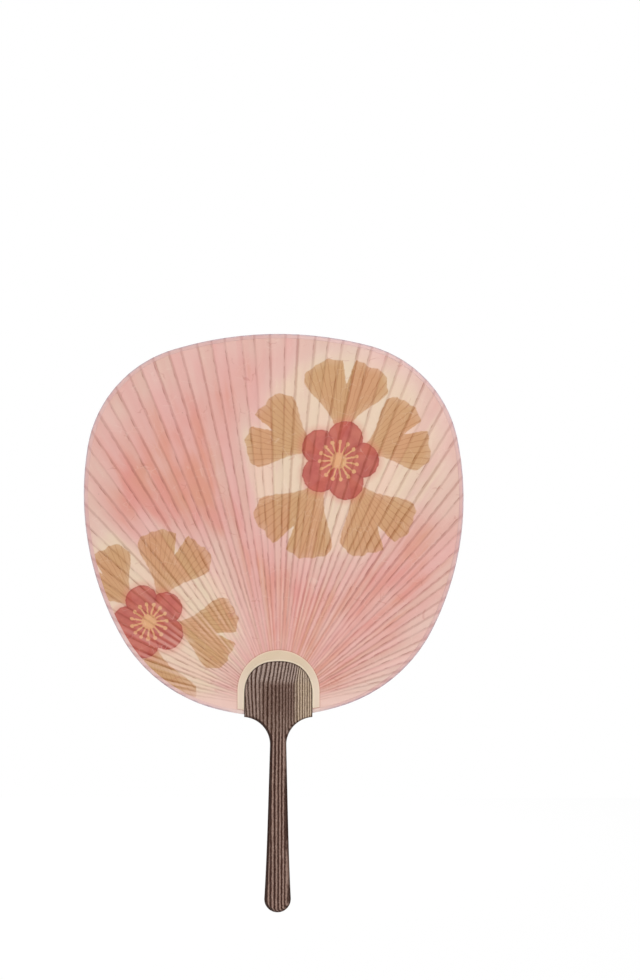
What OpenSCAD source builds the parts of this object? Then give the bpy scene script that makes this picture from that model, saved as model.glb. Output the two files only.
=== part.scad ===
// Round uchiwa: a paper leaf on split bamboo ribs, held in the slot of a flat wooden handle.
// X is right, Z is up and the printed front faces -Y. The ribs' middle plane is y = 0.
// The origin is the middle of the grip, where the hand closes on the handle.

/* [Leaf] */
// Radius of the flat crown arc over the top of the leaf
crown_r = 228.6; // [200:1:260]
// Angle from straight up at which the crown arc ends
crown_turn = 15.8; // [12:0.2:20]
// Radius of the tight arc at the upper shoulder
shoulder_r = 77.2; // [70:0.5:85]
// Angle at which the shoulder arc ends
shoulder_turn = 79.3; // [75:0.5:84]
// Radius of the flat arc down the flank
flank_r = 183.9; // [160:1:210]
// Angle at which the flank arc ends
flank_turn = 118; // [112:0.5:124]
// Radius of the arc that turns in below the flank
hip_r = 96.5; // [88:0.5:105]
// Angle at which the hip arc ends and the bottom arc begins
hip_turn = 163.8; // [158:0.5:168]
// Height of the leaf's lowest point above the lower corners of the handle's head
leaf_rise = 0.5; // [0.3:0.1:2]
// Lean of the hand-set leaf to the left, in degrees
leaf_lean = 1.3; // [0:0.1:3]

/* [Paper] */
// Thickness of one sheet of facing paper
paper_t = 0.2; // [0.1:0.05:0.3]
// Thickness of the half-moon collar paper
collar_t = 0.15; // [0.1:0.05:0.3]
// Width of the collar that shows beside the handle's head
collar_side = 4.4; // [3:0.2:7]
// Width of the collar that shows above the handle's head
collar_top = 7.2; // [4:0.2:9]
// Thickness of the paper strip folded round the rim
binding_t = 0.1; // [0.05:0.05:0.2]
// Width of the rim strip on each face
binding_w = 2.6; // [2:0.2:5]
// Length of each end of the rim strip that is tucked inside the handle's head
binding_tuck = 5; // [3:0.5:10]
// Space between the collar paper and the rim strip
butt_gap = 0.2; // [0.1:0.1:0.5]

/* [Ribs] */
// Number of ribs, odd so that one stands in the middle
rib_count = 65; // [33:2:65]
// Angle of the outermost rib from the middle one
rib_fan = 80; // [76:0.5:82]
// Angle between neighbouring ribs at the middle of the leaf
rib_mid_pitch = 2.28; // [2.2:0.02:2.4]
// How far a hand-laid rib strays from its even place, in degrees
rib_stray = 0.2; // [0:0.05:0.25]
// Thickness of a rib
rib_t = 0.6; // [0.4:0.1:0.8]
// Width of a rib where it leaves the handle
rib_w = 0.75; // [0.6:0.05:0.8]
// Width of a rib at the rim
rib_tip_w = 1.5; // [1:0.1:2]
// Height of the point that the ribs run to, above the leaf's lowest point
rib_focus = 5.1; // [4:0.1:7]
// Distance from that point to the ends of the ribs in the slot
rib_root = 12; // [10:0.5:14]
// Clear space between neighbouring ribs at their shaved roots
rib_gap = 0.05; // [0.05:0.05:0.2]

/* [Handle] */
// Thickness of the handle
handle_t = 8; // [7:0.5:10]
// Radius of the arch over the handle's head, half the head's width
head_r = 21.6; // [20:0.2:23]
// Length of the head's straight sides below the arch
head_side = 13.5; // [12:0.5:16]
// Thickness of each cheek of wood at the head's thin rim
rim_wall = 0.8; // [0.6:0.1:1.5]
// Width of the flat raised middle of the head
plateau_w = 19; // [18:0.5:24]
// Distance from the top of the arch down to the raised middle
top_bevel = 14.6; // [10:0.2:16]
// Glue space between the leaf and each wall of the slot
slot_gap = 0.1; // [0.05:0.05:0.2]
// Radius of the hollow curve under each side of the head
neck_r = 17.5; // [16:0.5:19]
// Height of the handle's narrowest place above the grip
neck_z = 32.1; // [30:0.5:33]
// Width of the handle at its narrowest place
neck_w = 9.9; // [9:0.1:11]
// Width of the handle halfway down the grip
grip_w = 12.6; // [12:0.2:14]
// Width of the handle at its round end
end_w = 16.4; // [15:0.2:18]
// Distance from the middle of the grip down to the round end
end_drop = 73.9; // [65:0.5:80]
// Size of the slanting cut along the edges of the grip
edge_cut = 1.5; // [1:0.1:2]

/* [Hidden] */
$fn = 96;
// Turn of the outline between two of its points, in degrees
outline_step = 2.5;
// Angle that scatters the strays of neighbouring ribs
stray_step = 137.5;
// A length past every surface that a cut runs through
past = 20;

half_ribs = (rib_count - 1) / 2;
ribs_per_node = 2;
rib_groups = ceil(half_ribs / ribs_per_node);
rib_layer = rib_t / 2;
ridge_h = rib_layer + paper_t;
stack_h = ridge_h + max(collar_t, binding_t);
slot_h = stack_h + slot_gap;
rim_h = slot_h + rim_wall;
face_h = handle_t / 2;

neck_x = neck_w / 2 + neck_r;
head_foot = neck_z + sqrt(neck_r * neck_r - pow(neck_x - head_r, 2));
arch_z = head_foot + head_side;
end_r = end_w / 2;
end_z = end_r - end_drop;
leaf_seat = head_foot + leaf_rise;
collar_r = head_r + collar_side;
collar_z = arch_z + head_r + collar_top - collar_r;

// Narrowest angle between two ribs, and the radius at which their full width fits there
least_pitch = (rib_mid_pitch - 2 * rib_stray) * PI / 180;
rib_waist = (rib_w + rib_gap) / least_pitch;
rib_root_w = least_pitch * rib_root - rib_gap;

function two_digits(n) = n < 10 ? str("0", n) : str(n);
function rib_names(side) = [for (g = [1:rib_groups]) str("ribs_", side, "_", two_digits(g))];

// Unit vector at an angle clockwise from straight up
function heading(a) = [sin(a), cos(a)];

// The right half of the leaf's edge is a chain of five arcs, each tangent to the next, drawn
// from the top of the crown down. The last one is centred on the middle line, so its radius
// follows from the others.
turns = [0, crown_turn, shoulder_turn, flank_turn, hip_turn, 180];
crown_c = [0, -crown_r];
shoulder_c = crown_c + (crown_r - shoulder_r) * heading(crown_turn);
flank_c = shoulder_c + (shoulder_r - flank_r) * heading(shoulder_turn);
hip_c = flank_c + (flank_r - hip_r) * heading(flank_turn);
base_r = hip_r + hip_c[0] / sin(hip_turn);
base_c = hip_c + (hip_r - base_r) * heading(hip_turn);
arc_centres = [crown_c, shoulder_c, flank_c, hip_c, base_c];
arc_radii = [crown_r, shoulder_r, flank_r, hip_r, base_r];
leaf_h = base_r - base_c[1];

function arc_points(i, grow) =
    let (steps = ceil((turns[i + 1] - turns[i]) / outline_step))
    [for (k = [0:steps - 1])
        let (a = turns[i] + (turns[i + 1] - turns[i]) * k / steps)
        arc_centres[i] + (arc_radii[i] + grow) * heading(a) + [0, leaf_h]];
function half_edge(grow) = [for (i = [0:len(arc_radii) - 1]) each arc_points(i, grow)];
function leaf_edge(grow) =
    let (right = half_edge(grow), last = len(right) - 1)
    concat(right, [[0, -grow]], [for (k = [last:-1:1]) [-right[k][0], right[k][1]]]);

// Places leaf shapes, drawn from the leaf's lowest point, on their leaning middle line
module on_leaf() {
    translate([0, leaf_seat + rib_focus])
        rotate(leaf_lean)
            translate([0, -rib_focus])
                children();
}

module leaf_shape(grow) {
    on_leaf() polygon(leaf_edge(grow));
}

// A layer of the given outline between two depths, measured from the ribs' middle plane
// towards the front
module layer(from, to) {
    translate([0, -from, 0])
        rotate([90, 0, 0])
            linear_extrude(to - from)
                children();
}

module both_faces(depth) {
    layer(-depth, depth) children();
}

// Angle of rib i from the leaf's middle line: the pitch widens gently towards the flanks
function rib_angle(i) =
    rib_mid_pitch * i
    + (rib_fan - rib_mid_pitch * half_ribs) * pow(i / half_ribs, 3)
    + rib_stray * sin(stray_step * i);

// One rib's outline, wider by grow on each side: shaved at the root, then widening to the rim
module rib_shape(i, grow = 0) {
    reach = leaf_h + past;
    root = rib_root - grow;
    at_root = rib_root_w / 2 + grow;
    at_waist = rib_w / 2 + grow;
    at_tip = rib_tip_w / 2 + grow;
    on_leaf()
        translate([0, rib_focus])
            rotate(-rib_angle(i))
                polygon([
                    [-at_root, root],
                    [-at_waist, rib_waist],
                    [-at_tip, reach],
                    [at_tip, reach],
                    [at_waist, rib_waist],
                    [at_root, root],
                ]);
}

module rib(i) {
    color("burlywood")
        both_faces(rib_layer)
            intersection() {
                rib_shape(i);
                leaf_shape(0);
            }
}

// The ribs of one group on one side, numbered outwards from the middle rib
module rib_group(side, g) {
    for (k = [1:ribs_per_node]) {
        i = (g - 1) * ribs_per_node + k;
        if (i <= half_ribs) rib(side * i);
    }
}

// One facing sheet: pressed down to the middle plane between the ribs and raised over each rib
module paper() {
    difference() {
        union() {
            layer(0, paper_t) leaf_shape(0);
            layer(0, ridge_h)
                intersection() {
                    leaf_shape(0);
                    union() {
                        for (i = [-half_ribs:half_ribs]) rib_shape(i, paper_t);
                    }
                }
        }
        layer(-rib_layer, rib_layer)
            for (i = [-half_ribs:half_ribs]) rib_shape(i);
    }
}

module front_paper() {
    color("lightpink") paper();
}

module back_paper() {
    color("mistyrose") mirror([0, 1, 0]) paper();
}

// A strip folded round the rim, open where the handle's head covers the leaf
module edge_binding() {
    color("thistle")
        difference() {
            both_faces(ridge_h + binding_t) leaf_shape(binding_t);
            both_faces(ridge_h) leaf_shape(0);
            both_faces(past) leaf_shape(-binding_w);
            both_faces(past)
                translate([binding_tuck - head_r, 0])
                    square([2 * (head_r - binding_tuck), arch_z]);
        }
}

module collar_shape() {
    intersection() {
        union() {
            translate([0, collar_z]) circle(collar_r);
            translate([-collar_r, 0]) square([2 * collar_r, collar_z]);
        }
        leaf_shape(-binding_w - butt_gap);
    }
}

module front_collar() {
    color("cornsilk") layer(ridge_h, ridge_h + collar_t) collar_shape();
}

module back_collar() {
    color("cornsilk") mirror([0, 1, 0]) layer(ridge_h, ridge_h + collar_t) collar_shape();
}

// The handle's outline: arched head, hollow neck, slowly widening grip and round end
module handle_shape() {
    translate([0, arch_z]) circle(head_r);
    difference() {
        translate([-head_r, neck_z]) square([2 * head_r, arch_z - neck_z]);
        for (side = [-1, 1]) translate([side * neck_x, neck_z]) circle(neck_r);
    }
    polygon([
        [-neck_w / 2, neck_z],
        [-grip_w / 2, (neck_z + end_z) / 2],
        [-end_r, end_z],
        [end_r, end_z],
        [grip_w / 2, (neck_z + end_z) / 2],
        [neck_w / 2, neck_z],
    ]);
    translate([0, end_z]) circle(end_r);
}

// Wood cut from one side of the head, sloping from the raised middle to the thin rim
module side_bevel() {
    slope = (face_h - rim_h) / (head_r - plateau_w / 2);
    translate([0, 0, head_foot - past])
        linear_extrude(arch_z + head_r - head_foot + 2 * past)
            polygon([
                [plateau_w / 2, -face_h],
                [head_r + past, -face_h + slope * (head_r + past - plateau_w / 2)],
                [head_r + past, -face_h - past],
                [plateau_w / 2, -face_h - past],
            ]);
}

// Wood cut from the top of the head, sloping up from the raised middle to the top of the arch
module top_bevel_cut() {
    top = arch_z + head_r;
    slope = (face_h - rim_h) / top_bevel;
    rotate([90, 0, 90])
        translate([0, 0, -head_r - past])
            linear_extrude(2 * (head_r + past))
                polygon([
                    [-face_h, top - top_bevel],
                    [-face_h + slope * (top_bevel + past), top + past],
                    [-face_h - past, top + past],
                    [-face_h - past, top - top_bevel],
                ]);
}

// The slanting cut along one straight edge of the grip, from place a to place b
module straight_edge_cut(a, b) {
    run = b - a;
    translate([a[0], -face_h, a[1]])
        rotate([0, atan2(run[0], run[1]), 0])
            linear_extrude(norm(run))
                polygon([[-edge_cut, 0], [past, edge_cut + past], [past, -past], [-edge_cut, -past]]);
}

module neck_edge_cut() {
    translate([neck_x, -face_h, neck_z])
        rotate([-90, 0, 0])
            cylinder(r1 = neck_r + edge_cut, r2 = neck_r, h = edge_cut);
}

module end_edge_cut() {
    translate([0, -face_h, end_z])
        rotate([-90, 0, 0])
            difference() {
                translate([-end_w, 0, 0]) cube([2 * end_w, end_w, edge_cut]);
                cylinder(r1 = end_r - edge_cut, r2 = end_r, h = edge_cut);
            }
}

// Everything that is carved from the front of the handle
module front_carving() {
    waist = (neck_z + end_z) / 2;
    for (side = [0, 1]) {
        mirror([side, 0, 0]) {
            side_bevel();
            straight_edge_cut([grip_w / 2, waist], [neck_w / 2, neck_z]);
            straight_edge_cut([end_r, end_z], [grip_w / 2, waist]);
            neck_edge_cut();
        }
    }
    top_bevel_cut();
    end_edge_cut();
}

module handle() {
    color("rosybrown")
        difference() {
            both_faces(face_h) handle_shape();
            front_carving();
            mirror([0, 1, 0]) front_carving();
            both_faces(slot_h) leaf_shape(binding_t + slot_gap);
        }
}

handle();
front_paper();
back_paper();
edge_binding();
front_collar();
back_collar();
rib(0);  // rib_centre
for (g = [1:rib_groups]) {
    rib_group(-1, g);
    rib_group(1, g);
}
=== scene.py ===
import math

import bmesh
import bpy
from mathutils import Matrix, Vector, noise
from mathutils.bvhtree import BVHTree


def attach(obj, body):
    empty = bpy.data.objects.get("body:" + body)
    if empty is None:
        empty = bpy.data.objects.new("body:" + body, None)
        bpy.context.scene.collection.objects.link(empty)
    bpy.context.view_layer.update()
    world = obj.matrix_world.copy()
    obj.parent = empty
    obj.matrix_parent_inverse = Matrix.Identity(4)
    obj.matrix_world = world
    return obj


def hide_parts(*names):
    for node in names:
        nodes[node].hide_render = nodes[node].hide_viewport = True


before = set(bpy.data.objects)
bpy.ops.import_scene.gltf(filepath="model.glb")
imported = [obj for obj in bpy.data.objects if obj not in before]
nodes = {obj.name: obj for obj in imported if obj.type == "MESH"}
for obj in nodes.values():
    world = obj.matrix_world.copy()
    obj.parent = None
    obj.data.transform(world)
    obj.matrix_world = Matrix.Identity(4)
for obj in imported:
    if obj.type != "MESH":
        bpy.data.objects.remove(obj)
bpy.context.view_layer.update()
MM = 0.001

# The ribs are strips split from one stick of bamboo, shaved thin at the root and spread into a fan.
# They are pasted between the two sheets, so their CAD solids stay and get a bamboo finish.


def paint(red, green, blue):
    """A colour given from 0 to 255, as the shaders take it."""
    shares = (c / 255 for c in (red, green, blue))
    return (*(s / 12.92 if s <= 0.04045 else ((s + 0.055) / 1.055) ** 2.4 for s in shares), 1.0)


class Wire:
    """A number, vector or colour on its way through a finish; it adds and multiplies."""

    def __init__(self, tree, socket):
        self.tree, self.socket = tree, socket

    def math(self, operation, *others, **settings):
        return lay(self.tree, "Math", self, *others, operation=operation, **settings)

    def __add__(self, other):
        return self.math("ADD", other)

    def __sub__(self, other):
        return self.math("SUBTRACT", other)

    def __rsub__(self, other):
        return lay(self.tree, "Math", other, self, operation="SUBTRACT")

    def __mul__(self, other):
        return self.math("MULTIPLY", other)

    def __truediv__(self, other):
        return self.math("DIVIDE", other)

    __radd__ = __add__
    __rmul__ = __mul__

    def rise(self, low, high):
        """0 below low, 1 above high, with a soft step between; low above high turns it round."""
        return lay(self.tree, "MapRange", self, low, high, interpolation_type="SMOOTHSTEP")

    def shift(self, other, operation="ADD"):
        return lay(self.tree, "VectorMath", self, other, operation=operation)

    def length(self):
        return lay(self.tree, "VectorMath", self, operation="LENGTH")

    def parts(self):
        split = lay(self.tree, "SeparateXYZ", self).socket.node
        return [Wire(self.tree, s) for s in split.outputs]


def lay(tree, kind, *feeds, out=0, **settings):
    """Adds one node, sets its options, and fills its inputs in order with wires or plain values."""
    node = tree.nodes.new("ShaderNode" + kind)
    named = settings.pop("named", {})
    for option, value in settings.items():
        setattr(node, option, value)
    inputs = [s for s in node.inputs if s.enabled]
    for socket, feed in list(zip(inputs, feeds)) + [(node.inputs[n], f) for n, f in named.items()]:
        if isinstance(feed, Wire):
            tree.links.new(feed.socket, socket)
        elif feed is not None:
            socket.default_value = feed
    return Wire(tree, [s for s in node.outputs if s.enabled][out])


def blend(tree, share, under, over, blend_type="MIX"):
    return lay(tree, "Mix", share, under, over, data_type="RGBA", blend_type=blend_type)


def grain(tree, place, scale, detail=2.0, roughness=0.5):
    """Noise between 0 and 1 at a place given in millimetres."""
    return lay(tree, "TexNoise", place, scale, detail, roughness)


def spot(tree, x, y, z=0.0):
    return lay(tree, "CombineXYZ", x, y, z)


def shared_effect(name, takes, gives):
    """An empty node group with the named inputs and outputs, and the wires of its inputs."""
    group = bpy.data.node_groups.new(name, "ShaderNodeTree")
    for words, in_out in ((takes, "INPUT"), (gives, "OUTPUT")):
        for word, kind in words.items():
            group.interface.new_socket(word, in_out=in_out, socket_type="NodeSocket" + kind)
    entry = group.nodes.new("NodeGroupInput")
    return group, [Wire(group, s) for s in entry.outputs[:len(takes)]]


def give(group, *results):
    outlet = group.nodes.new("NodeGroupOutput")
    for socket, wire in zip(outlet.inputs, results):
        group.links.new(wire.socket, socket)


def most(wire, other):
    """The greater of two wires, of which the first may be missing."""
    return other if wire is None else wire.math("MAXIMUM", other)


def use(tree, group, *feeds):
    first = lay(tree, "Group", *feeds, node_tree=group)
    return [Wire(tree, s) for s in first.socket.node.outputs]


def new_finish(name):
    """A new material, its node tree and its one Principled shader."""
    material = bpy.data.materials.new(name)
    material.use_nodes = True
    tree = material.node_tree
    return material, tree, tree.nodes["Principled BSDF"]


def plug(tree, shader, colour, roughness, height, depth):
    """Joins the colour, the roughness and a bump of the given depth in metres to the shader."""
    tree.links.new(colour.socket, shader.inputs["Base Color"])
    tree.links.new(roughness.socket, shader.inputs["Roughness"])
    bump = lay(tree, "Bump", 1.0, depth, named={"Height": height})
    tree.links.new(bump.socket, shader.inputs["Normal"])


def dress(node_name, material):
    """Gives a CAD node its finish."""
    slots = nodes[node_name].data.materials
    slots.clear()
    slots.append(material)


def stand(name, shape):
    """Turns a finished bmesh into an object of the scene, at the origin."""
    mesh = bpy.data.meshes.new(name)
    shape.to_mesh(mesh)
    shape.free()
    piece = bpy.data.objects.new(name, mesh)
    bpy.context.scene.collection.objects.link(piece)
    return piece


leaf_lean = math.radians(1.3)
focus = Vector((0.0, 0.0, 55.18)) * MM


def fan_place(turn, depth, reach):
    """The place at a turn and a distance from the ribs' focus, depth behind the middle plane."""
    return focus + Vector((math.sin(turn) * reach, depth, math.cos(turn) * reach)) * MM



fan_polar, (at,) = shared_effect(
    "fan_polar", {"Object": "Vector"}, {"Flat": "Vector", "Turn": "Float", "Reach": "Float"})
millimetres = lay(fan_polar, "VectorMath", at, (1000.0, 1000.0, 1000.0), operation="MULTIPLY")
across, deep, high = millimetres.parts()
flat = spot(fan_polar, across, high)
above = high - focus.z / MM
give(
    fan_polar,
    flat,
    across.math("ARCTAN2", above),
    spot(fan_polar, across, above).length(),
)

bamboo, tree, shader = new_finish("split_bamboo")
here = lay(tree, "TexCoord", out=3)
flat, turn, reach = use(tree, fan_polar, here)
strand = grain(tree, spot(tree, turn * 900.0, reach * 0.12), 1.0, 3.0)
patch = grain(tree, flat, 0.05)
straw = blend(tree, strand.rise(0.35, 0.7), paint(178, 140, 84), paint(222, 192, 132))
straw = blend(tree, patch.rise(0.5, 0.8) * 0.4, straw, paint(160, 120, 70), "MULTIPLY")
plug(tree, shader, straw, strand * 0.2 + 0.4, strand, 0.00005)

rib_nodes = sorted(name for name in nodes if name.startswith("rib"))
for name in rib_nodes:
    dress(name, bamboo)

# The handle is one flat piece of open-grained wood with an arched, bevelled head, a hollow neck
# and a slowly widening grip. A saw slot in the head takes the leaf, which is glued in. The wood
# is oiled, not varnished.

# The arch is a little squarer than a half circle, by this power; sizes are in millimetres.
arch_r, arch_rise, arch_power = 21.6, 21.9, 2.35
arch_z, foot_z = 63.08, 49.58
neck_r, neck_x, neck_z = 17.5, 22.65, 32.1
end_r, end_z = 8.4, -65.7
grip_w, grip_taper, grip_flare = 10.3, 0.0513, 1.62e-8
neck_cut, end_cut, bevel_run = 1.5, 2.1, 8.0
facet_wear, cut_wear, edge_wear = 0.12, 0.5, 0.3
face_h, plateau_half, plateau_top, bevel_slope, top_slope = 4.0, 9.5, 70.08, 0.2025, 0.1678
grip_lean, lean_from = 0.0042, 80.0


def grip_half(z):
    """Half the width of the grip: it widens slowly, and faster near the round end."""
    down = neck_z - z
    return (grip_w + grip_taper * down + grip_flare * down ** 4) / 2


def outline_half(z):
    """Half the width of the handle at a height."""
    if z > arch_z:
        up = min((z - arch_z) / arch_rise, 1.0)
        return arch_r * (1.0 - up ** arch_power) ** (1.0 / arch_power)
    if z > foot_z:
        return arch_r
    if z > neck_z:
        return min(arch_r, neck_x - math.sqrt(max(neck_r ** 2 - (z - neck_z) ** 2, 0.0)))
    if z > end_z:
        return grip_half(z)
    return math.sqrt(max(end_r ** 2 - (z - end_z) ** 2, 0.0))


def soft_least(a, b, k):
    """The lesser of two heights, with the ridge between them worn round over about k."""
    h = max(k - abs(a - b), 0.0) / k
    return min(a, b) - h * h * k / 4


def carved_depth(x, z, inset):
    """How far the carved face stands off the middle plane, and the distance to the outline."""
    side = abs(x)
    face = face_h
    if z > foot_z - bevel_run:
        face = soft_least(face, face_h - bevel_slope * (side - plateau_half), facet_wear)
        face = soft_least(face, face_h - top_slope * (z - plateau_top), facet_wear)
    if z > neck_z:
        cut_off, cut = math.hypot(side - neck_x, z - neck_z) - neck_r, neck_cut
    elif z > end_z:
        cut_off, cut = inset, neck_cut + (end_cut - neck_cut) * (neck_z - z) / (neck_z - end_z)
    else:
        cut_off, cut = end_r - math.hypot(side, z - end_z), end_cut
    edge = max(min(inset, cut_off), 0.0)
    if z > arch_z:
        up = (z - arch_z) / arch_rise
        shell = ((side / arch_r) ** arch_power + up ** arch_power) ** (1.0 / arch_power)
        edge = min(edge, max(math.hypot(side, z - arch_z) * (1.0 / shell - 1.0), 0.0))
    face = soft_least(face, face_h - cut + max(cut_off, 0.0), cut_wear)
    if edge < edge_wear:
        face -= edge_wear * (1 - math.sqrt(max(1 - (1 - edge / edge_wear) ** 2, 0.0))) * 0.8
    return face, edge


# Heights of the skin's rows, then the steps in from the outline, which are fine at the edge.
levels = [end_z - end_r * math.cos(math.radians(a)) for a in range(0, 90, 5)]
levels += [end_z + (neck_z - end_z) * k / 40 for k in range(40)]
levels += [neck_z + neck_r * math.sin(math.radians(a)) for a in (0, 4, 8, 12, 16, 20, 24, 28, 32,
           36, 40, 44, 48, 52, 56, 60, 63, 66, 69, 72, 74.5, 77, 79, 81, 82.5, 84, 85.3, 86.3)]
levels += [foot_z + 0.02 + (arch_z - foot_z) * k / 18 for k in range(18)]
levels += [arch_z + arch_rise * math.sin(math.radians(a))
           for a in (*range(0, 60, 2), *range(60, 86, 3), 86, 88, 89.2, 90)]
insets = [0.0, 0.04, 0.1, 0.18, 0.3, 0.5, 0.8, 1.1, 1.45, 1.75, 2.1, 2.5, 3.0]
spans = 26
half_row = [(k, None) for k in range(len(insets))] + [(None, k / spans) for k in range(1, spans)]
face_row = half_row + [(None, 1.0)] + half_row[::-1]
wall = [-0.6, -0.2, 0.2, 0.6]
ring = len(face_row) * 2 + len(wall) * 2


def handle_point(level, c):
    """The place of column c of the handle's skin, counted round it from the front's left edge."""
    z = levels[level]
    half = outline_half(z)
    n, w = len(face_row), len(wall)
    if n <= c < n + w or c >= 2 * n + w:
        x = half if c < n + w else -half
        depth, _ = carved_depth(x, z, 0.0)
        share = wall[c - n] if c < n + w else -wall[c - 2 * n - w]
        return Vector((x, share * depth, z)), 0.0
    k = c if c < n else 2 * n + w - 1 - c
    step, share = face_row[k]
    limit = half * 0.6
    if step is not None:
        inset = insets[step] * min(1.0, limit / insets[-1])
    else:
        first = min(insets[-1], limit)
        inset = first + (half - first) * share
    x = (inset - half) if k < n / 2 else (half - inset)
    depth, edge = carved_depth(x, z, inset)
    return Vector((x, -depth if c < n else depth, z)), edge


carving = bmesh.new()
bmesh.ops.create_grid(carving, x_segments=ring, y_segments=len(levels) - 1, size=1.0)
to_edge = carving.verts.layers.float.new("to_edge")
for v in carving.verts:
    c = round((v.co.x + 1) / 2 * ring) % ring
    place, edge = handle_point(round((v.co.y + 1) / 2 * (len(levels) - 1)), c)
    v.co = (place - Vector((grip_lean * (lean_from - place.z), 0, 0))) * MM
    v[to_edge] = edge
bmesh.ops.remove_doubles(carving, verts=carving.verts, dist=0.004 * MM)
bmesh.ops.recalc_face_normals(carving, faces=carving.faces)
handle = stand("carved_handle", carving)

sheet_tree = BVHTree.FromObject(nodes["front_paper"], bpy.context.evaluated_depsgraph_get())


def rim_reach(turn):
    """Distance from the ribs' focus to the sheet's rim, in millimetres."""
    way = Vector((math.sin(turn), 0.0, math.cos(turn)))
    found = []
    for depth in (0.1, 0.4):
        hit = sheet_tree.ray_cast(focus + way * 0.4 - Vector((0, depth * MM, 0)), -way)[0]
        if hit:
            found.append(math.hypot(hit.x - focus.x, hit.z - focus.z) / MM)
    return max(found)


def rim_slant(turn):
    """How much longer a way in from the rim is towards the ribs' focus than straight in."""
    slope = (rim_reach(turn + 0.01) - rim_reach(turn - 0.01)) / 0.02
    return math.hypot(1.0, slope / rim_reach(turn))


# The saw slot is a plate with the leaf's outline, a little larger, cut out of the head.
slot_half, slot_room = 0.75, 0.25
saw_cut = bmesh.new()
bmesh.ops.create_circle(saw_cut, cap_ends=True, radius=1.0, segments=180)
for v in saw_cut.verts:
    turn = math.atan2(v.co.x, v.co.y)
    v.co = fan_place(turn, -slot_half, rim_reach(turn) + slot_room)
skin = bmesh.ops.extrude_face_region(saw_cut, geom=saw_cut.faces[:])
bmesh.ops.translate(
    saw_cut, vec=(0, 2 * slot_half * MM, 0),
    verts=[v for v in skin["geom"] if isinstance(v, bmesh.types.BMVert)])
bmesh.ops.recalc_face_normals(saw_cut, faces=saw_cut.faces)
cutter = stand("saw_cut", saw_cut)
slot = handle.modifiers.new("slot", "BOOLEAN")
slot.operation = "DIFFERENCE"
slot.solver = "EXACT"
slot.object = cutter
bpy.context.view_layer.update()
slotted = bpy.data.meshes.new_from_object(
    handle.evaluated_get(bpy.context.evaluated_depsgraph_get()))
handle.modifiers.clear()
handle.data = slotted
slotted.name = "carved_handle"
bpy.data.objects.remove(cutter)
smoothing = bmesh.new()
smoothing.from_mesh(slotted)
for face in smoothing.faces:
    face.smooth = True
for edge in smoothing.edges:
    edge.smooth = edge.calc_face_angle(0.0) < math.radians(32)
smoothing.to_mesh(slotted)
smoothing.free()

# The year rings are planes that stand at 45 degrees to the face, so they wander where a bevel
# cuts them. They stand wider towards the left; the right edge is paler, partly pale sapwood and
# partly painted light, as if lit from the right.
wood, tree, shader = new_finish("ringed_wood")
here = lay(tree, "TexCoord", out=3)
across, deep, high = lay(
    tree, "VectorMath", here, (1000.0, 1000.0, 1000.0), operation="MULTIPLY").parts()
across = across + (lean_from - high) * grip_lean
left_lean = across.rise(-6.0, -26.0) * (62.0 - high).math("MAXIMUM", -6.0)
sway = grain(tree, spot(tree, across * 0.1, high * 0.02, deep * 0.1), 1.0, 1.0) - 0.5
quiver = grain(tree, spot(tree, across * 0.6, high * 0.34, deep * 0.6), 1.0, 3.0, 0.6) - 0.5
u = across - (deep + face_h) - left_lean * 0.13 + sway * 0.9
u = u + quiver * (0.9 - across.rise(6.5, 10.5) * 0.45)
phase = u * 0.4494 + u * u * 0.00723 + u * u * u * 0.000174 + 9.457
saw = phase.math("FRACT")
grip = high.rise(44.0, 34.0)
late = saw.rise(0.24 - grip * 0.05, 0.58 - grip * 0.13) * saw.rise(0.97, 0.80)
year = lay(tree, "TexWhiteNoise", phase.math("FLOOR"), noise_dimensions="1D")
fibre = grain(tree, spot(tree, across * 4.0, high * 0.35, deep * 4.0), 1.0, 3.0, 0.65)
pore = grain(tree, spot(tree, across * 5.0, high * 0.8, deep * 5.0), 1.0, 1.0)
beads = grain(tree, spot(tree, across * 1.7, high * 1.0, deep * 1.7), 1.0, 3.0, 0.7)
# The pale right edge: partly sapwood, partly painted light from the right; its late rings are paler
# too.
sapwood_and_lit_side = u.rise(8.5, 12.5)
carved = (deep.math("ABSOLUTE") - face_h).rise(-0.1, -0.7) * high.rise(44.0, 52.0)
pale = blend(tree, sapwood_and_lit_side, paint(130, 105, 94), paint(195, 173, 148))
# Painted light: the head's bevels are lighter than its plateau, as if they caught the light.
pale = blend(tree, carved * (1.0 - sapwood_and_lit_side) * 0.7, pale, paint(162, 138, 128))
# Painted light: the top bevel, facing up, is lighter still.
pale = blend(tree, high.rise(70.0, 74.0) * 0.29, pale, paint(199, 182, 172))
pale = blend(tree, grip * 0.6, pale, paint(166, 134, 121))
pale = blend(tree, fibre.rise(0.44, 0.70) * 0.75, pale, paint(190, 166, 154))
pale = blend(tree, beads.rise(0.50, 0.36) * (0.45 - sapwood_and_lit_side * 0.25), pale, paint(84, 60, 50))
dark = blend(tree, fibre.rise(0.40, 0.74), paint(49, 24, 11), paint(80, 53, 38))
dark = blend(tree, sapwood_and_lit_side * 0.75, dark, paint(94, 71, 51))
dark = blend(tree, grip * 0.8, dark, paint(46, 15, 4))
unbroken = 1.0 - beads.rise(0.56, 0.70) * (0.6 - grip * 0.3)
rings = blend(tree, late * (0.84 + year * 0.16) * unbroken, pale, dark)
# Painted shade: the head's plateau is darkened, as if turned from the light.
plateau = (deep.math("ABSOLUTE") - face_h).rise(-0.12, -0.02) * high.rise(48.0, 54.0)
rings = blend(tree, plateau * 0.6, rings, paint(222, 212, 210), "MULTIPLY")
rings = blend(tree, pore.rise(0.65, 0.73) * 0.8, rings, paint(42, 22, 14))
rings = blend(tree, pore.rise(0.31, 0.22) * 0.45, rings, paint(214, 194, 180))
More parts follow.
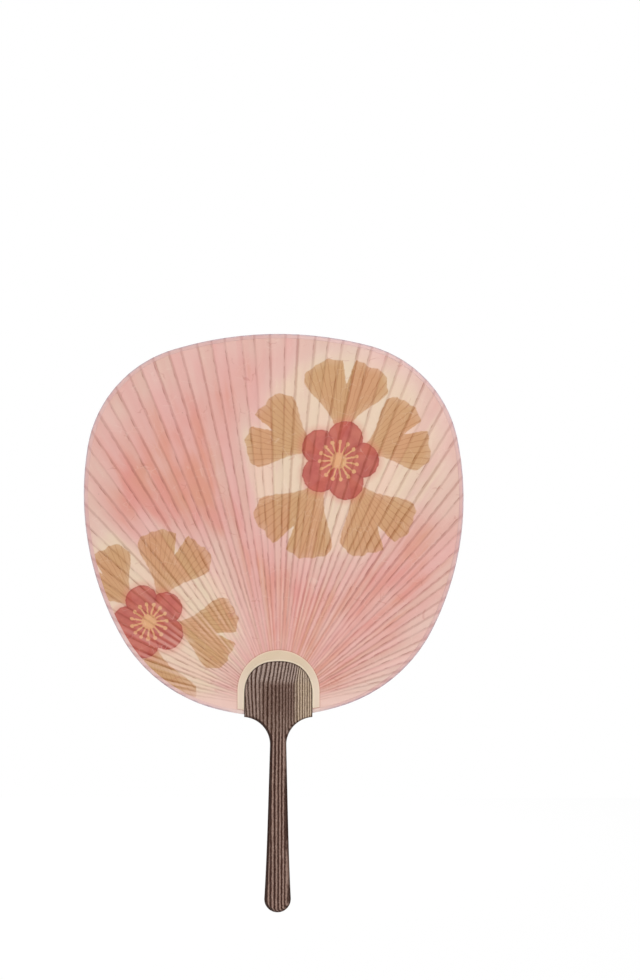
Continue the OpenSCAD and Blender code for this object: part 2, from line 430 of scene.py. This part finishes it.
# The edges of the faces are darker: partly oil and handling, partly painted shade on the rounded
# edges and bevels, most on the grip's left, which is painted as if in shadow; the walls stay plain.
edge_off = lay(tree, "Attribute", attribute_name="to_edge", out=2)
below = high.rise(52.0, 48.0)
left = across.rise(-2.0, -4.0) * below
edge_wear_and_shade = edge_off.rise(0.9, 0.25) * 0.78
edge_wear_and_shade = edge_wear_and_shade.math("MAXIMUM", edge_off.rise(1.5, 0.7) * below * 0.55)
# Painted shade down the grip's left bevel, as if in shadow.
edge_wear_and_shade = edge_wear_and_shade.math("MAXIMUM", edge_off.rise(2.1, 1.3) * left * 0.85)
faces_out = lay(tree, "TexCoord", out=1).parts()[1].math("ABSOLUTE").rise(0.1, 0.5)
rings = blend(tree, edge_wear_and_shade * faces_out, rings, paint(46, 25, 18))
shader.inputs["Specular IOR Level"].default_value = 0.1
relief = fibre * 0.4 + late * 0.5 - pore.rise(0.66, 0.74)
plug(tree, shader, rings, 0.56 - late * 0.12, relief, 0.00008)
slotted.materials.clear()
slotted.materials.append(wood)
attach(handle, "root")
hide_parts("handle")

# The two facing sheets are thin dyed washi, pasted over the ribs and pressed down between them,
# so every rib stands out as a soft ridge. Where a rib shows through, its darker line is painted
# shade for the light the rib holds back, with a narrow painted shadow along one side.

rib_pitch, rib_spread, half_ribs = 2.28, 80.0, 32
rib_stray, stray_step = 0.2, 137.5
sheet_t = 0.19
ridge_h, valley_h = 0.5, 0.195
fold_steps = 40
rows = 52
collar_r, collar_top = 26.0, 65.88
rib_root_half, rib_rim_half, rib_bare, rib_run = 0.375, 0.75, 24.4, 238.0
uv_bays, uv_reach = 70.0, 300.0


def rib_angle(i):
    """Turn of rib i from straight up, clockwise, in radians."""
    even = rib_pitch * i + (rib_spread - rib_pitch * half_ribs) * (i / half_ribs) ** 3
    return math.radians(even + rib_stray * math.sin(math.radians(stray_step * i))) - leaf_lean


def rib_half(reach):
    """Half the width of a rib, in millimetres, at a distance from the ribs' focus."""
    share = min(max(reach - rib_bare, 0.0) / rib_run, 1.0)
    return rib_root_half + (rib_rim_half - rib_root_half) * share


# Each bay between two ribs has eight columns of points. A column is known by its rib, its side
# and its place: 0 on the rib's middle line, 4 halfway to the next rib.
columns = []
for i in range(-half_ribs, half_ribs):
    columns += [(i, 1, k) for k in range(5)] + [(i + 1, -1, k) for k in (3, 2, 1)]
columns.append((half_ribs, 1, 0))
past_last = [(rib_angle(half_ribs) + (math.pi - rib_angle(half_ribs)) * k / fold_steps)
             for k in range(1, fold_steps + 1)]
past_first = [(rib_angle(-half_ribs) - (math.pi + rib_angle(-half_ribs)) * k / fold_steps)
              for k in range(fold_steps, 0, -1)]


def column_place(column, reach):
    """Turn, height off the middle plane, distance to the nearest rib and bay of a point."""
    rib, side, k = column
    base = rib_angle(rib)
    neighbour = rib + side if -half_ribs <= rib + side <= half_ribs else rib
    half_bay = abs(rib_angle(neighbour) - base) / 2 * reach or 1.0
    half = rib_half(reach)
    wanted = (0.0, half + 0.05, half + 0.28, half + 0.65, half_bay)[k]
    off = min(wanted, half_bay * (0.0, 0.5, 0.68, 0.85, 1.0)[k])
    room = min(max(half_bay - half, 0.05) / 1.5, 1.0)
    height = ridge_h - (ridge_h - valley_h) * room * (0.0, 0.03, 0.45, 0.88, 1.0)[k]
    turn = base + side * off / max(reach, 0.5)
    bay = rib + side * off / (2 * half_bay)
    return turn, height, off, bay


def sheet_point(column, share):
    """One point of the sheet: where it is and what the finish needs to know there."""
    if isinstance(column, tuple):
        base = rib_angle(column[0])
        turn, height, off, bay = column_place(column, max(rim_reach(base) * share, 0.5))
    else:
        turn, height, off = column, valley_h + 0.02, 4.0
        bay = math.copysign(half_ribs + 0.5, column)
    rim = rim_reach(turn)
    return turn, rim * share, height, off, bay, rim * (1 - share)


all_columns = past_first + columns + past_last


def facing_sheet(name, side):
    """A whole facing sheet; side is 1 for the front and -1 for the back."""
    sheet = bmesh.new()
    bmesh.ops.create_grid(
        sheet, x_segments=len(all_columns) - 1, y_segments=rows, size=1.0)
    sheet.verts.ensure_lookup_table()
    off_rib = sheet.verts.layers.float.new("off_rib")
    to_rim = sheet.verts.layers.float.new("to_rim")
    fan_uv = sheet.loops.layers.uv.new("fan")
    told = {}
    for v in sheet.verts:
        c = round((v.co.x + 1) / 2 * (len(all_columns) - 1))
        share = ((v.co.y + 1) / 2) ** 0.85
        turn, reach, height, off, bay, rim = sheet_point(all_columns[c], share)
        ripple = noise.noise(Vector((turn * 9, reach * 0.05, side))) * 0.03
        v[off_rib], v[to_rim] = off, rim
        told[v] = (bay / uv_bays + 0.5, reach / uv_reach)
        v.co = fan_place(turn, -side * (height + max(ripple, 0.0)), reach)
    for face in sheet.faces:
        for loop in face.loops:
            loop[fan_uv].uv = told[loop.vert]
    bmesh.ops.remove_doubles(sheet, verts=sheet.verts, dist=0.01 * MM)
    for face in sheet.faces:
        face.smooth = True
    bmesh.ops.recalc_face_normals(sheet, faces=sheet.faces)
    sheet.normal_update()
    middle = max(sheet.faces, key=lambda f: f.calc_area())
    if middle.normal.y * side > 0:
        bmesh.ops.reverse_faces(sheet, faces=sheet.faces)
    piece = stand(name, sheet)
    body = piece.modifiers.new("thickness", "SOLIDIFY")
    body.thickness = sheet_t * MM
    body.offset = -1.0
    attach(piece, "root")
    return piece


# Fibres, flecks and the look of the ribs from outside are the same on both sheets.
washi, (flat, turn, bay, reach, off) = shared_effect(
    "washi",
    {"Flat": "Vector", "Turn": "Float", "Bay": "Float", "Reach": "Float", "Off": "Float"},
    {"Rib": "Float", "Panel": "Float", "Glow": "Float", "Fibre": "Float", "Hair": "Float",
     "Fleck": "Float"})
rib_number = bay.math("ROUND")
side = (bay - rib_number).math("SIGN")
jitter = grain(washi, spot(washi, rib_number * 3.7, reach * 0.35), 1.0, 2.0) - 0.5
signed = off * side + jitter * 0.5
own = lay(washi, "TexWhiteNoise", rib_number, noise_dimensions="1D")
# Painted shade: a soft darker band over each rib, for the light it holds back from behind.
half = (0.40 + reach * 0.0015) * (0.82 + own * 0.42)
band = 1.0 - (signed.math("ABSOLUTE") / half).rise(0.25, 1.60)
# Painted shadow: a narrow dark line along the side of each rib turned from the key light.
rib_shadow = 1.0 - ((signed + half).math("ABSOLUTE") / 0.42).rise(0.2, 1.1)
along = grain(washi, spot(washi, rib_number * 7.31, reach * 0.022), 1.0, 3.0)
crisp = grain(washi, spot(washi, rib_number * 5.13, reach * 0.03), 4.0, 3.0)
open_side = turn.math("ABSOLUTE").rise(0.55, 1.0)
root = reach.rise(38.0, 95.0).math("MAXIMUM", open_side)
rib_shade = band * (0.12 + 0.24 * own + along.rise(0.30, 0.70) * 0.34)
rib_shade = (rib_shade + rib_shadow * (0.04 + crisp.rise(0.44, 0.68) * 0.66)) * (0.40 + root * 0.60)
# Painted light: near the root the middle of some bays is lightened, between the ribs' shade.
gap = (bay.math("FRACT") - 0.5).math("ABSOLUTE").rise(0.38, 0.10)
streak = grain(washi, spot(washi, bay.math("FLOOR") * 9.13, reach * 0.02), 1.0, 2.0)
valley_light = gap * streak.rise(0.42, 0.66) * reach.rise(135.0, 60.0)
panel = grain(washi, spot(washi, bay.math("FLOOR") * 11.7, reach * 0.010), 1.0, 1.0)
strands = lay(washi, "TexVoronoi", flat, 0.16, feature="DISTANCE_TO_EDGE")
thread = strands.rise(0.03, 0.0) * grain(washi, flat, 0.11, 1.0).rise(0.5, 0.62)
bent = lay(washi, "TexNoise", flat, 0.12, 2.0, out=1)
bent = lay(washi, "VectorMath", bent, (9.0, 9.0, 0.0), flat, operation="MULTIPLY_ADD")
loops = lay(washi, "TexVoronoi", bent, 0.055, feature="DISTANCE_TO_EDGE")
hair = loops.rise(0.018, 0.004) * grain(washi, flat, 0.10, 0.0).rise(0.63, 0.69)
dots = lay(washi, "TexVoronoi", flat, 0.13, feature="F1")
fleck = dots.rise(0.05, 0.02) * grain(washi, flat, 0.9, 0.0).rise(0.54, 0.6)
give(washi, rib_shade, panel, valley_light, thread, hair, fleck)

# The stencilled design is a common one: whorls of ginkgo leaves, each round a plum blossom.
ginkgo, (flat, base, size, tilt) = shared_effect(
    "ginkgo_leaf",
    {"Flat": "Vector", "Base": "Vector", "Size": "Float", "Tilt": "Float"},
    {"Leaf": "Float", "Vein": "Float", "Margin": "Float"})
own = lay(ginkgo, "VectorRotate", flat.shift(base, "SUBTRACT"), rotation_type="Z_AXIS",
          named={"Angle": tilt})
sideways, forward, _ = own.parts()
reach = own.length()
turn = sideways.math("ARCTAN2", forward)
spread = turn.math("ABSOLUTE")
share = reach / size
notch = (1.0 - spread.rise(0.0, 0.085)) * 0.27
corner = (spread * 1.55).math("POWER", 5.0) * 0.20
edge = 1.0 - notch - corner + (turn * 19.0).math("SINE") * 0.014
edge = edge + (turn * 43.0).math("SINE") * 0.007
opening = 0.27 + share.rise(0.05, 0.80) * 0.35
inside = ((edge - share) * size).math("MINIMUM", (opening - spread) * reach)
leaf = inside.rise(-0.5, 0.5)
margin = inside.rise(5.0, 0.2) * leaf
stalk_mid = sideways + forward * forward / size * 0.5
stalk = (0.8 - stalk_mid.math("ABSOLUTE")).rise(-0.25, 0.25)
stalk = stalk * forward.rise(2.0, 0.0) * (forward + size * 0.42).rise(0.0, 1.0)
vein = (turn * 74.0).math("COSINE").rise(0.72, 1.0) * share.rise(0.10, 0.4) * leaf
give(ginkgo, leaf.math("MAXIMUM", stalk), vein, margin)

plum, (flat, middle, size, tilt) = shared_effect(
    "plum_blossom",
    {"Flat": "Vector", "Middle": "Vector", "Size": "Float", "Tilt": "Float"},
    {"Petal": "Float", "Edge": "Float", "Heart": "Float", "Bleed": "Float"})
own = lay(plum, "VectorRotate", flat.shift(middle, "SUBTRACT"), rotation_type="Z_AXIS",
          named={"Angle": tilt})
sideways, forward, _ = own.parts()
reach = own.length()
fifth = math.tau / 5
turn = sideways.math("ARCTAN2", forward)
folded = (turn / fifth + 0.5).math("FRACT") * fifth - fifth / 2
px = folded.math("SINE") * reach
py = folded.math("COSINE") * reach - size * 0.56
petal_off = spot(plum, px, py).length() - size * 0.43
petal = petal_off.rise(0.35, -0.35)
edge = petal_off.math("ABSOLUTE").rise(1.0, 0.2)
side_seam = (fifth / 2 - folded.math("ABSOLUTE")) * reach
edge = edge.math("MAXIMUM", side_seam.rise(0.9, 0.2) * (reach / size).rise(0.25, 0.3)) * petal
bud = (reach / size).rise(0.22, 0.17)
third = fifth / 3
stamen = ((turn / third).math("FRACT") - 0.5).math("ABSOLUTE") * reach * third
heart = stamen.rise(0.75, 0.3) * (reach / size).rise(0.48, 0.42)
tip = spot(plum, stamen, reach - size * 0.46)
heart = heart.math("MAXIMUM", tip.length().rise(1.5, 0.9))
heart = heart.math("MAXIMUM", bud)
bleed = petal_off.rise(5.0, -1.0)
give(plum, petal, edge, heart, bleed)


def wash(tree, flat, turn, reach, to_rim, panel, cream_share):
    """The dye brushed on the wet sheet: salmon in the open, cream where cream_share is high."""
    streaks = grain(tree, spot(tree, turn * 15.0, reach * 0.012), 1.0, 3.0, 0.6)
    cloud = grain(tree, flat, 0.014, 2.0)
    fog = grain(tree, flat, 0.045, 3.0)
    inner = to_rim.rise(4.0, 52.0)
    depth = (streaks - 0.5) * 1.1 + (cloud - 0.5) * 0.8 + (fog - 0.5) * 0.35 + (panel - 0.5) * 0.22
    corner = turn.math("ABSOLUTE").rise(1.0, 1.4)
    depth = depth + 0.42 + inner * 0.44 - reach.rise(105.0, 45.0) * 0.14 - corner * 0.25
    depth = depth - cream_share * 0.85
    rosy = grain(tree, flat, 0.022, 2.0).rise(0.38, 0.62)
    pale = blend(tree, cream_share.rise(0.1, 0.7), paint(232, 200, 192), paint(234, 210, 189))
    dye = blend(tree, depth.rise(0.0, 0.36), pale, paint(229, 192, 182))
    dye = blend(tree, depth.rise(0.30, 0.62), dye, paint(227, 181, 173))
    full = blend(tree, rosy, paint(220, 158, 139), paint(223, 158, 149))
    return blend(tree, depth.rise(0.55, 1.0), dye, full)


def sheet_finish(name):
    """A new paper finish with its wires: place, turn, reach, bay, and the washi masks."""
    material, tree, shader = new_finish(name)
    here = lay(tree, "TexCoord", out=3)
    flat, turn, reach = use(tree, fan_polar, here)
    bay = (lay(tree, "UVMap", uv_map="fan").parts()[0] - 0.5) * uv_bays
    off = lay(tree, "Attribute", attribute_name="off_rib", out=2)
    to_rim = lay(tree, "Attribute", attribute_name="to_rim", out=2)
    masks = use(tree, washi, flat, turn, bay, reach, off)
    return material, tree, shader, flat, turn, reach, to_rim, masks


def finish_sheet(tree, shader, colour, flat, masks, rib_tint):
    """Panel tints, the ribs' painted shade with painted light between them, fibres, flecks and a
    painted shadow round the collar, over the dye.
    """
    rib_shade, panel, valley_light, thread, hair, fleck = masks
    across, high, _ = flat.parts()
    past_collar = spot(tree, across, (high - collar_top).math("MAXIMUM", 0.0))
    past_collar = past_collar.length() - collar_r
    tint = blend(tree, panel.rise(0.35, 0.65), paint(255, 246, 247), paint(251, 253, 247))
    colour = blend(tree, 1.0, colour, tint, "MULTIPLY")
    # Painted light in the middle of some bays.
    colour = blend(tree, valley_light * 0.40, colour, paint(240, 202, 188))
    # The ribs' painted shade.
    colour = blend(tree, rib_shade, colour, rib_tint, "MULTIPLY")
    colour = blend(tree, thread * 0.18, colour, paint(246, 226, 212))
    colour = blend(tree, hair * 0.28, colour, paint(186, 110, 100))
    colour = blend(tree, fleck * 0.7, colour, paint(150, 104, 86))
    colour = blend(tree, high.rise(70.0, 60.0) * 0.6, colour, paint(238, 202, 190))
    # A painted contact shadow: a thin darker line on the sheet just outside the collar's edge.
    colour = blend(tree, past_collar.rise(0.8, 0.2) * 0.5, colour, paint(216, 192, 176), "MULTIPLY")
    tooth = grain(tree, flat, 1.3, 4.0, 0.6)
    shade = blend(tree, tooth, paint(190, 170, 165), paint(255, 250, 245))
    colour = blend(tree, 0.10, colour, shade, "MULTIPLY")
    plug(tree, shader, colour, tooth * 0.12 + 0.82, tooth * 0.5 + thread * 0.4, 0.00006)
    shader.inputs["Specular IOR Level"].default_value = 0.25


printed, tree, shader, flat, turn, reach, to_rim, masks = sheet_finish("printed_washi")
shake = lay(tree, "TexNoise", flat, 0.35, 3.0, out=1).shift((0.5, 0.5, 0.5), "SUBTRACT")
shaken = lay(tree, "VectorMath", shake, (1.6, 1.6, 0.0), flat, operation="MULTIPLY_ADD")
whorls = {
    (38.0, 212.0): [(55, 2, 5), (50, 73, -6), (54, 146, 4), (57, 217, -3), (51, 290, 6)],
    (-82.0, 110.0): [(50, 25, -5), (47, 97, 4), (51, 169, 6), (46, 313, 3)],
}
blossoms = [((38.0, 212.0), 26.0, 0.3), ((-82.0, 110.0), 24.0, 0.9)]
cream = None
for (x, z), size, _ in blossoms:
    away = lay(tree, "VectorMath", flat, (x, z, 0.0), operation="DISTANCE")
    cream = most(cream, away.rise(size * 3.4, size * 1.5))
colour = wash(tree, flat, turn, reach, to_rim, masks[1], cream)
covered = veins = margins = None
for (x, z), leaves in whorls.items():
    for size, degrees, twist in leaves:
        tilt = math.radians(degrees)
        base = (x + 9 * math.sin(tilt), z + 9 * math.cos(tilt), 0.0)
        tilt += math.radians(twist)
        leaf, vein, margin = use(tree, ginkgo, shaken, base, float(size), tilt)
        covered, veins, margins = most(covered, leaf), most(veins, vein), most(margins, margin)
ochre = blend(tree, grain(tree, flat, 0.03), paint(202, 148, 106), paint(205, 162, 115))
colour = blend(tree, covered * 0.88 - margins * 0.15, colour, ochre)
colour = blend(tree, veins * 0.35, colour, paint(214, 178, 140), "MULTIPLY")
for (x, z), size, tilt in blossoms:
    petal, edge, heart, bleed = use(tree, plum, shaken, (x, z, 0.0), size, tilt)
    colour = blend(tree, bleed * 0.40, colour, paint(214, 124, 110))
    uneven = grain(tree, flat, 0.12, 3.0).rise(0.3, 0.7)
    rose = blend(tree, uneven, paint(180, 80, 76), paint(197, 103, 91))
    colour = blend(tree, petal * 0.86, colour, rose)
    colour = blend(tree, edge * 0.35, colour, paint(158, 62, 66))
    colour = blend(tree, heart * 0.85, colour, paint(228, 178, 132))
    covered = covered.math("MAXIMUM", petal * 0.6)
# The colour of the ribs' painted shade, browner over the print.
rib_tint = blend(tree, covered, paint(206, 181, 177), paint(198, 168, 140))
finish_sheet(tree, shader, colour, flat, masks, rib_tint)

front_sheet = facing_sheet("front_sheet", 1)
front_sheet.data.materials.append(printed)
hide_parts("front_paper")

plain, tree, shader, flat, turn, reach, to_rim, masks = sheet_finish("plain_washi")
clear = grain(tree, flat, 0.012, 1.0)
colour = wash(tree, flat, turn, reach, to_rim, masks[1], clear.rise(0.4, 0.7) * 0.5)
finish_sheet(tree, shader, colour, flat, masks, paint(206, 181, 177))

back_sheet = facing_sheet("back_sheet", -1)
back_sheet.data.materials.append(plain)
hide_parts("back_paper")

# The rim is bound with a narrow strip of tinted paper, folded over the edge and pasted down on
# both faces. Its two ends are tucked into the head of the handle.

binding_finish, tree, shader = new_finish("binding_washi")
here = lay(tree, "TexCoord", out=3)
flat, turn, reach = use(tree, fan_polar, here)
fold = lay(tree, "Attribute", attribute_name="fold", out=2)
ridge = lay(tree, "Attribute", attribute_name="off_rib", out=2)
mottle = grain(tree, flat, 0.12, 3.0)
bay = (lay(tree, "UVMap", uv_map="fan").parts()[0] - 0.5) * uv_bays
panel = lay(tree, "TexWhiteNoise", bay.math("FLOOR"), noise_dimensions="1D")
strip = blend(tree, mottle.rise(0.3, 0.7), paint(214, 169, 165), paint(220, 181, 174))
faded = (turn.rise(-0.05, 0.12) * turn.rise(0.62, 0.46)).math("MAXIMUM", turn.rise(-0.95, -1.15))
strip = blend(tree, faded * 0.65, strip, paint(230, 196, 191))
strip = blend(tree, panel * 0.35, strip, paint(226, 194, 186))
# A patchy mask; it breaks up the fold's lilac line and the painted shade on the lower fold.
worn = grain(tree, flat, 0.35, 3.0).rise(0.32, 0.60)
low = flat.parts()[1].rise(90.0, 66.0)
strip = blend(tree, fold.rise(1.1, 0.1) * (0.35 + worn * 0.5), strip, paint(190, 170, 180))
# Painted shade: the fold along the lower rim is darker, as a side turned from the light.
strip = blend(tree, fold.rise(1.2, 0.4) * low * worn * 0.6, strip, paint(170, 144, 156))
# The ribs' painted shade, where they run under the strip.
strip = blend(tree, ridge.rise(1.2, 0.3) * 0.35, strip, paint(206, 172, 172), "MULTIPLY")
beside = flat.parts()[0].math("ABSOLUTE")
paste = (beside.rise(44.0, 27.0) * 0.35).math("MAXIMUM", beside.rise(27.0, 25.8) * 0.7)
strip = blend(tree, paste * low, strip, paint(234, 212, 202))
tooth = grain(tree, flat, 1.1, 4.0)
plug(tree, shader, strip, tooth * 0.12 + 0.80, tooth, 0.00005)

tuck_x = 16.6
strip_columns = [c for c in all_columns if isinstance(c, tuple)]
strip_turns = ([t for t in past_first if abs(math.sin(t)) * rim_reach(t) > tuck_x]
               + strip_columns
               + [t for t in past_last if abs(math.sin(t)) * rim_reach(t) > tuck_x])
# The strip's section: the face it lies on, how far in from the rim, and how far off the sheet.
profile = [(1, 2.6, 0.02), (1, 2.1, 0.08), (1, 1.3, 0.1), (1, 0.35, 0.1), (1, 0.08, 0.06)]
profile = profile + [(0.6, -0.06, 0.1), (0, -0.1, 0.1), (-0.6, -0.06, 0.1)] + [
    (-face, inset, lift) for face, inset, lift in profile[::-1]]
strip_mesh = bmesh.new()
bmesh.ops.create_grid(
    strip_mesh, x_segments=len(strip_turns) - 1, y_segments=len(profile) - 1, size=1.0)
off_rib = strip_mesh.verts.layers.float.new("off_rib")
fold_off = strip_mesh.verts.layers.float.new("fold")
fan_uv = strip_mesh.loops.layers.uv.new("fan")
told = {}
for v in strip_mesh.verts:
    c = round((v.co.x + 1) / 2 * (len(strip_turns) - 1))
    face, inset, lift = profile[round((v.co.y + 1) / 2 * (len(profile) - 1))]
    rim_column = strip_turns[c]
    whole = sheet_point(rim_column, 1.0)
    share = max(1.0 - inset * rim_slant(whole[0]) / whole[1], 0.1)
    turn, reach, height, off, bay, _ = sheet_point(rim_column, share)
    v[off_rib], v[fold_off] = off, max(inset, 0.0)
    told[v] = (bay / uv_bays + 0.5, reach / uv_reach)
    v.co = fan_place(turn, -face * (height + lift), reach)
for face in strip_mesh.faces:
    face.smooth = True
    for loop in face.loops:
        loop[fan_uv].uv = told[loop.vert]
strip_mesh.normal_update()
outermost = max(strip_mesh.faces, key=lambda f: f.calc_center_median().z)
if outermost.normal.z < 0:
    bmesh.ops.reverse_faces(strip_mesh, faces=strip_mesh.faces)
rim_strip = stand("rim_strip", strip_mesh)
body = rim_strip.modifiers.new("thickness", "SOLIDIFY")
body.thickness = 0.09 * MM
body.offset = -1.0
rim_strip.data.materials.append(binding_finish)
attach(rim_strip, "root")
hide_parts("edge_binding")

# A half-moon of thicker cream paper is pasted on each face round the head and hides the place
# where the ribs enter the wood. It is undyed, so the fibres show more.

collar_finish, tree, shader = new_finish("collar_washi")
here = lay(tree, "TexCoord", out=3)
flat, turn, reach = use(tree, fan_polar, here)
mottle = grain(tree, flat, 0.09, 3.0)
height = flat.parts()[1]
moon = blend(tree, height.rise(66.0, 90.0), paint(228, 208, 188), paint(217, 195, 167))
moon = blend(tree, mottle.rise(0.35, 0.75) * 0.35, moon, paint(228, 204, 180))
beside, above = flat.parts()[0].math("ABSOLUTE"), (height - arch_z).math("MAXIMUM", 0.0)
shell = (beside / arch_r).math("POWER", arch_power) + (above / arch_rise).math("POWER", arch_power)
shell = shell.math("POWER", 1.0 / arch_power)
off_head = spot(tree, beside, above).length() * (shell - 1.0) / shell
moon = blend(tree, off_head.rise(1.3, 0.6) * 0.8, moon, paint(246, 230, 204))
in_edge = spot(tree, flat.parts()[0], (height - collar_top).math("MAXIMUM", 0.0))
in_edge = collar_r - in_edge.length()
moon = blend(tree, in_edge.rise(0.9, 0.3) * 0.4, moon, paint(244, 218, 196))
strands = lay(tree, "TexVoronoi", flat, 0.3, feature="DISTANCE_TO_EDGE")
thread = strands.rise(0.04, 0.0) * grain(tree, flat, 0.2, 1.0).rise(0.48, 0.6)
moon = blend(tree, thread * 0.25, moon, paint(240, 226, 204))
tooth = grain(tree, flat, 1.0, 4.0)
plug(tree, shader, moon, tooth * 0.12 + 0.80, tooth + thread, 0.00005)
for name in ("front_collar", "back_collar"):
    dress(name, collar_finish)

# The studio: a pale floor under the upright fan, soft light from the front with the stronger
# part from the upper right, and the camera straight in front of the leaf.

floor_mesh = bmesh.new()
bmesh.ops.create_grid(floor_mesh, x_segments=1, y_segments=1, size=1.4)
for v in floor_mesh.verts:
    v.co.z = -0.16
floor = stand("floor", floor_mesh)
material = bpy.data.materials.new("pale_floor")
material.use_nodes = True
tree = material.node_tree
shader = tree.nodes["Principled BSDF"]
shader.inputs["Base Color"].default_value = (0.92, 0.92, 0.92, 1.0)
shader.inputs["Roughness"].default_value = 0.9
white = lay(tree, "Emission", (1.0, 1.0, 1.0, 1.0), 1.03)
seen = lay(tree, "LightPath") * 0.9
both = lay(tree, "MixShader", seen, Wire(tree, shader.outputs[0]), white)
tree.links.new(both.socket, tree.nodes["Material Output"].inputs["Surface"])
floor.data.materials.append(material)

world = bpy.data.worlds.new("studio")
bpy.context.scene.world = world
world.use_nodes = True
tree = world.node_tree
backdrop = tree.nodes["Background"]
seen = lay(tree, "LightPath")
level = 0.40 + seen * 0.60
tree.links.new(level.socket, backdrop.inputs["Strength"])
backdrop.inputs["Color"].default_value = (1.0, 1.0, 1.0, 1.0)

middle = Vector((0.0, 0.0, 0.13))
for name, place, size, level in (
    ("key", (0.72, -1.40, 0.50), 0.7, 0.25),
    ("top", (0.10, -1.25, 0.85), 0.8, 0.17),
    ("fill", (-1.1, -1.2, 0.3), 1.2, 0.08),
    ("back_light", (-0.6, 1.3, 0.7), 1.2, 0.42),
):
    lamp = bpy.data.lights.new(name, "AREA")
    lamp.shape = "DISK"
    lamp.size = size
    way = Vector(place) - middle
    facing = abs(way.normalized().y)
    lamp.energy = level * (math.pi * way.length) ** 2 / facing
    holder = bpy.data.objects.new(name, lamp)
    holder.location = place
    holder.rotation_euler = way.to_track_quat("Z", "Y").to_euler()
    bpy.context.scene.collection.objects.link(holder)

view = bpy.data.cameras.new("view")
view.sensor_width = 36.0
view.lens = 100.0
camera = bpy.data.objects.new("view", view)
camera.location = (0.0263, -1.7259, 0.1934)
camera.rotation_euler = (math.pi / 2, 0.0, 0.0)
bpy.context.scene.collection.objects.link(camera)
bpy.context.scene.camera = camera
bpy.context.scene.view_settings.view_transform = "Standard"
